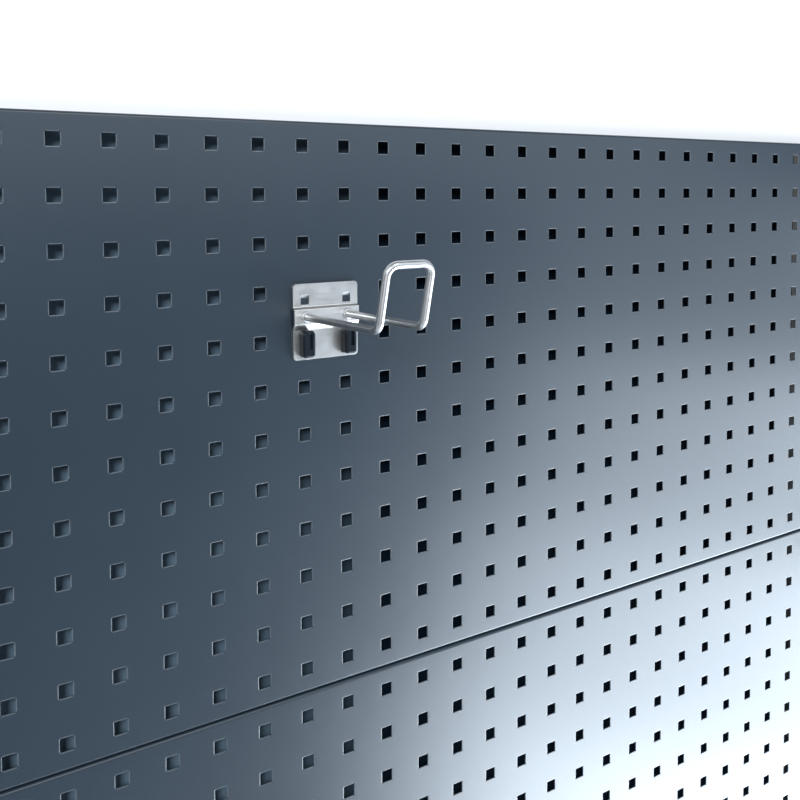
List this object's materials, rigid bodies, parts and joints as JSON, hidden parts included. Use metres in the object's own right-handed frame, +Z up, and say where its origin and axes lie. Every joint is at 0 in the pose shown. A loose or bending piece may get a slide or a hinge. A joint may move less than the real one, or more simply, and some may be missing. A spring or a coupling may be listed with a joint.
{
  "type": "perforated tool wall",
  "caption": "Perforated tool wall of two folded steel panels with square peg holes, carried on wall rails, with a lockable double-arm tool hook.",
  "frame": {"origin": "on the wall plane, midway between the two wall rails and level with the seam between the panels", "axes": "+X to the right along the wall, +Y into the wall, +Z up"},
  "size_m": [0.988, 0.14, 0.913],
  "materials": {
    "panel_paint": "satin anthracite powder coat",
    "rail_zinc": "zinc-plated steel",
    "plate_zinc": "satin zinc-plated sheet",
    "rod_zinc": "bright zinc-plated rod",
    "weld_steel": "zinc-plated weld bead",
    "locker_plastic": "black moulded plastic",
    "cap_plastic": "black moulded plastic",
    "fastener_zinc": "zinc-plated steel"
  },
  "bodies": {
    "wall": {"upper_panel": "panel_paint", "lower_panel": "panel_paint", "left_wall_rail": "rail_zinc", "right_wall_rail": "rail_zinc", "left_rail_top_cap": "cap_plastic", "left_rail_bottom_cap": "cap_plastic", "right_rail_top_cap": "cap_plastic", "right_rail_bottom_cap": "cap_plastic", "upper_panel_screws": "fastener_zinc", "lower_panel_screws": "fastener_zinc", "upper_panel_washers": "fastener_zinc", "lower_panel_washers": "fastener_zinc", "upper_channel_nuts": "fastener_zinc", "lower_channel_nuts": "fastener_zinc"},
    "hook": {"hook_plate": "plate_zinc", "hook_rod": "rod_zinc", "left_weld": "weld_steel", "right_weld": "weld_steel"},
    "locker_left": {"left_locker": "locker_plastic", "left_snap_tongue": "locker_plastic"},
    "locker_right": {"right_locker": "locker_plastic", "right_snap_tongue": "locker_plastic"}
  },
  "joints": [
    {"name": "hook_lift", "type": "slide", "parent": "wall", "child": "hook", "axis": [0, 0, 1], "range_m": [0, 0.0047], "deforming": ["left_snap_tongue", "right_snap_tongue"]},
    {"name": "left_locker_pull", "type": "slide", "parent": "hook", "child": "locker_left", "axis": [0, -1, 0], "range_m": [0, 0.005]},
    {"name": "right_locker_pull", "type": "slide", "parent": "hook", "child": "locker_right", "axis": [0, -1, 0], "range_m": [0, 0.005]}
  ]
}
